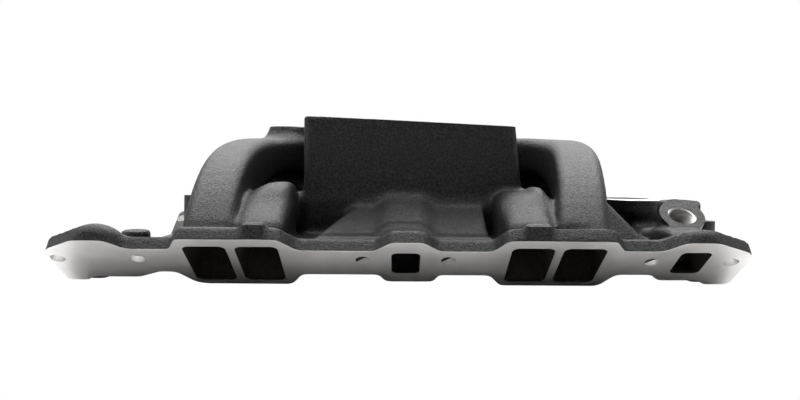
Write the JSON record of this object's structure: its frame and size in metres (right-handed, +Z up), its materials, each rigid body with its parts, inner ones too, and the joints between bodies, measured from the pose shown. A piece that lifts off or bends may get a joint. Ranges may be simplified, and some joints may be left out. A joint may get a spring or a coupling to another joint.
{
  "type": "intake manifold",
  "caption": "Dual-plane intake manifold for a V engine: two slanted head flanges, arched runners, a tall plenum under a four-barrel carburettor pad, and coolant and heat crossovers.",
  "frame": {"origin": "under the middle of the part, level with the lowest edge of the head flanges", "axes": "+X towards the front of the engine along the crankshaft, +Y to the left bank, +Z up"},
  "size_m": [0.4998, 0.3306, 0.1274],
  "materials": {
    "cast_black": "textured black powder coat on cast aluminium",
    "machined_aluminium": "satin machined faces"
  },
  "bodies": {
    "root": {"head_flange_right": "cast_black", "head_flange_left": "cast_black", "runner_1": "cast_black", "runner_2": "cast_black", "runner_3": "cast_black", "runner_4": "cast_black", "runner_5": "cast_black", "runner_6": "cast_black", "runner_7": "cast_black", "runner_8": "cast_black", "upper_plenum": "cast_black", "lower_plenum": "cast_black", "plane_separator": "cast_black", "plenum_divider": "cast_black", "carburettor_pad": "machined_aluminium", "heat_crossover_leg_right": "cast_black", "heat_crossover_leg_left": "cast_black", "heat_crossover_passage": "cast_black", "water_crossover": "cast_black", "thermostat_neck": "cast_black", "thermostat_pad": "machined_aluminium", "heater_outlet_boss": "cast_black", "rear_end_rail": "cast_black", "front_end_rail": "cast_black", "rear_valley_floor": "cast_black", "front_valley_floor": "cast_black", "front_gusset_right": "cast_black", "valley_floor_right_rear": "cast_black", "valley_floor_right_front": "cast_black", "valley_floor_left_rear": "cast_black", "valley_floor_left_front": "cast_black", "distributor_boss": "machined_aluminium", "vacuum_boss": "cast_black", "rear_bracket_boss_right": "cast_black", "rear_bracket_boss_left": "cast_black", "front_bracket_boss": "cast_black"}
  },
  "joints": []
}
